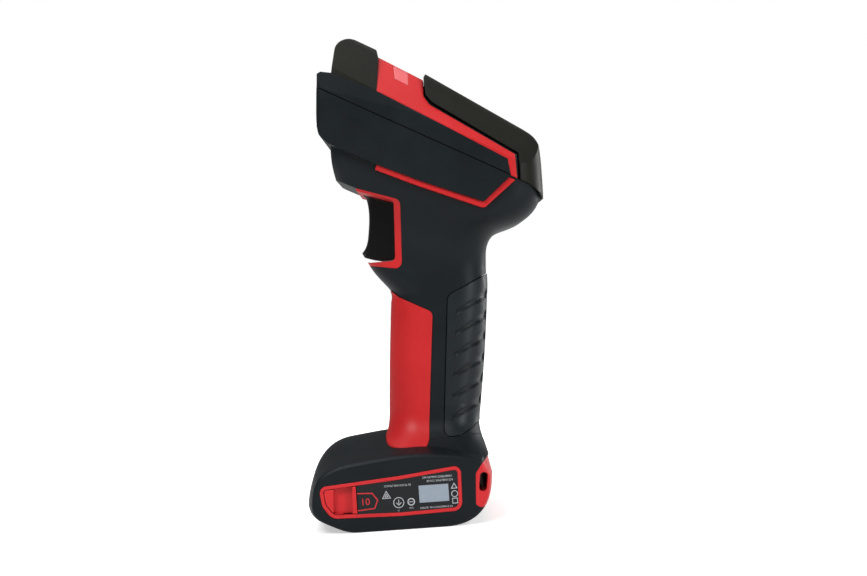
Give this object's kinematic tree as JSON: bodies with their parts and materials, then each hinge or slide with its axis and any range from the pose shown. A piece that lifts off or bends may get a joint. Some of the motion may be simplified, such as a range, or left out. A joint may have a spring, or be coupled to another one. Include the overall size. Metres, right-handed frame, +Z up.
{
  "type": "barcode scanner",
  "caption": "Cordless pistol-grip barcode scanner standing on a wide foot that holds a removable battery, with trigger and latches.",
  "frame": {"origin": "middle of the foot's flat underside", "axes": "+Z up, nose towards -X, the scanner's left side towards -Y"},
  "size_m": [0.115, 0.0746, 0.216],
  "materials": {
    "aluminium": "cast and machined",
    "black_gloss": "polished moulding",
    "board": "solder-masked board",
    "cell": "sleeved cell",
    "chip": "moulded package",
    "exit_glass": "dark tinted window",
    "gasket": "matt foam rubber",
    "gold": "plated contact",
    "housing": "fine textured moulding, satin",
    "label": "printed label film",
    "led": "clear moulded lens",
    "lens": "coated lens",
    "light_window": "translucent moulding",
    "overmould": "soft-touch matt rubber",
    "red_overmould": "satin soft-touch rubber",
    "red_plastic": "satin moulding",
    "ribbon": "polyimide film",
    "steel": "plain steel"
  },
  "bodies": {
    "scanner_body": {"nose_hood": "overmould", "head_band": "red_overmould", "status_window": "light_window", "rear_bumper": "overmould", "upper_housing": "housing", "main_housing": "housing", "trim_line_left": "red_overmould", "trim_line_right": "red_overmould", "trigger_surround": "red_overmould", "front_grip": "red_overmould", "rear_grip": "overmould", "foot_shell": "housing", "label_frame_left": "red_plastic", "label_frame_right": "red_plastic", "label_plate_left": "label", "label_plate_right": "label", "lanyard_loop": "red_plastic", "latch_spring_left": "steel", "latch_spring_right": "steel", "foot_screws": "steel", "contact_pins": "gold", "window_bezel": "black_gloss", "exit_window": "exit_glass", "window_gasket": "gasket", "engine_bracket": "aluminium", "engine_chassis": "chip", "lens_barrel": "black_gloss", "lens_glass": "lens", "illumination_leds": "led", "aimer": "led", "sensor_board": "board", "main_board": "board", "board_screws": "steel", "shield_can": "steel", "board_chips": "chip", "beeper": "chip", "antenna": "gold", "trigger_pin": "steel", "trigger_bracket": "steel", "contact_board": "board", "handle_board": "board", "vibration_motor": "steel", "trigger_switch": "chip", "trigger_spring": "steel", "ribbon_cable": "ribbon"},
    "trigger_lever": {"trigger": "black_gloss"},
    "latch_button_left": {"latch_left": "red_plastic"},
    "latch_button_right": {"latch_right": "red_plastic"},
    "battery_pack": {"battery_tray": "housing", "battery_case": "black_gloss", "tray_screws": "steel", "charge_contacts": "gold", "battery_cells": "cell", "battery_board": "board", "battery_pads": "gold"}
  },
  "joints": [
    {"name": "trigger_pull", "type": "hinge", "parent": "scanner_body", "child": "trigger_lever", "pos_m": [-0.00003, 0, 0.153], "axis": [0, -1, 0], "range_deg": [0, 7.5], "stiffness_Nm_per_rad": 0.3, "springref_deg": -8.59, "deforming": ["trigger_spring"]},
    {"name": "latch_left_press", "type": "slide", "parent": "scanner_body", "child": "latch_button_left", "axis": [0, 1, 0], "range_m": [0, 0.002], "stiffness_N_per_m": 800, "springref_m": -0.002, "deforming": ["latch_spring_left"]},
    {"name": "latch_right_press", "type": "slide", "parent": "scanner_body", "child": "latch_button_right", "axis": [0, -1, 0], "range_m": [0, 0.002], "stiffness_N_per_m": 800, "springref_m": -0.002, "deforming": ["latch_spring_right"]},
    {"name": "battery_slide", "type": "slide", "parent": "scanner_body", "child": "battery_pack", "axis": [0, 0, -1], "range_m": [0, 0.045]}
  ]
}
